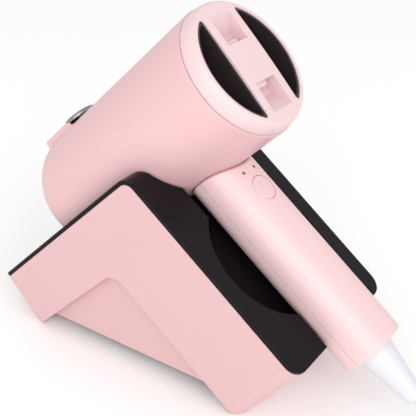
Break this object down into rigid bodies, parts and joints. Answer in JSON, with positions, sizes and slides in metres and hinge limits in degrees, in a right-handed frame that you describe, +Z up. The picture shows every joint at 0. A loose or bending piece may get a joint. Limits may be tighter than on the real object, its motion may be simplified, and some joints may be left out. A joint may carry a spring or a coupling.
{
  "type": "hair dryer",
  "caption": "Compact pink hair dryer resting in a matching tent-shaped desk cradle with a black top, split air outlet, round rear button, white lead and coiled cord.",
  "frame": {"origin": "bottom centre of the dryer and stand together, on the table, without the cord", "axes": "+X from the rear foot to the front foot and the lead, +Z up, +Y across the stand"},
  "size_m": [0.3883, 0.1384, 0.2122],
  "materials": {
    "pink_shell": "satin",
    "light_pink_ring": "glossy",
    "handle_pink": "satin",
    "black_gloss": "glossy",
    "black_inner": "matt",
    "gunmetal": "satin",
    "white_plastic": "satin",
    "white_cord": "satin",
    "steel": "brushed",
    "mica": "matt",
    "board_green": "satin",
    "resistance_wire": "satin"
  },
  "bodies": {
    "stand": {"stand_shell": "pink_shell", "cradle_plate": "black_gloss", "stand_screw_1": "steel", "stand_screw_2": "steel", "stand_screw_3": "steel", "stand_screw_4": "steel", "cord_coil": "white_cord", "cord_tail": "white_cord", "cord_tie": "white_plastic", "plug_body": "white_plastic", "plug_blade_1": "steel", "plug_blade_2": "steel"},
    "dryer": {"barrel_housing": "pink_shell", "outlet_ring": "light_pink_ring", "outlet_liner": "black_inner", "inlet_grille": "pink_shell", "inlet_filter": "steel", "mode_switch": "black_inner", "fan_shroud": "black_inner", "motor_can": "steel", "stator_vanes": "white_plastic", "heater_board_upright": "mica", "heater_board_lying": "mica", "heater_coil": "resistance_wire", "heater_sleeve": "mica", "thermostat": "steel", "thermal_fuse": "steel", "ion_emitter": "black_inner", "handle_front_shell": "handle_pink", "handle_rear_shell": "handle_pink", "handle_screw_1": "steel", "handle_screw_2": "steel", "power_switch": "black_inner", "indicator_light_left": "black_inner", "indicator_light_right": "black_inner", "control_board": "board_green", "suppression_capacitor": "black_inner", "power_regulator": "steel", "ion_generator": "black_inner", "strain_relief": "white_plastic", "cord_lead": "white_cord"},
    "fan": {"impeller": "white_plastic", "motor_shaft": "steel"},
    "power_key": {"power_button": "handle_pink"},
    "mode_key": {"mode_button": "gunmetal"}
  },
  "joints": [
    {"name": "dryer_lift", "type": "slide", "parent": "stand", "child": "dryer", "axis": [0, 0, 1], "range_m": [0, 0.09]},
    {"name": "fan_spin", "type": "hinge", "parent": "dryer", "child": "fan", "pos_m": [-0.03471, 0, 0.13964], "axis": [0.6994, 0, 0.7147], "continuous": true},
    {"name": "power_button_press", "type": "slide", "parent": "dryer", "child": "power_key", "axis": [-0.5931, 0, -0.8051], "range_m": [0, 0.0012], "stiffness_N_per_m": 1500, "springref_m": -0.0006},
    {"name": "mode_button_press", "type": "slide", "parent": "dryer", "child": "mode_key", "axis": [0.7147, 0, -0.6994], "range_m": [0, 0.0012], "stiffness_N_per_m": 1500, "springref_m": -0.0006}
  ]
}
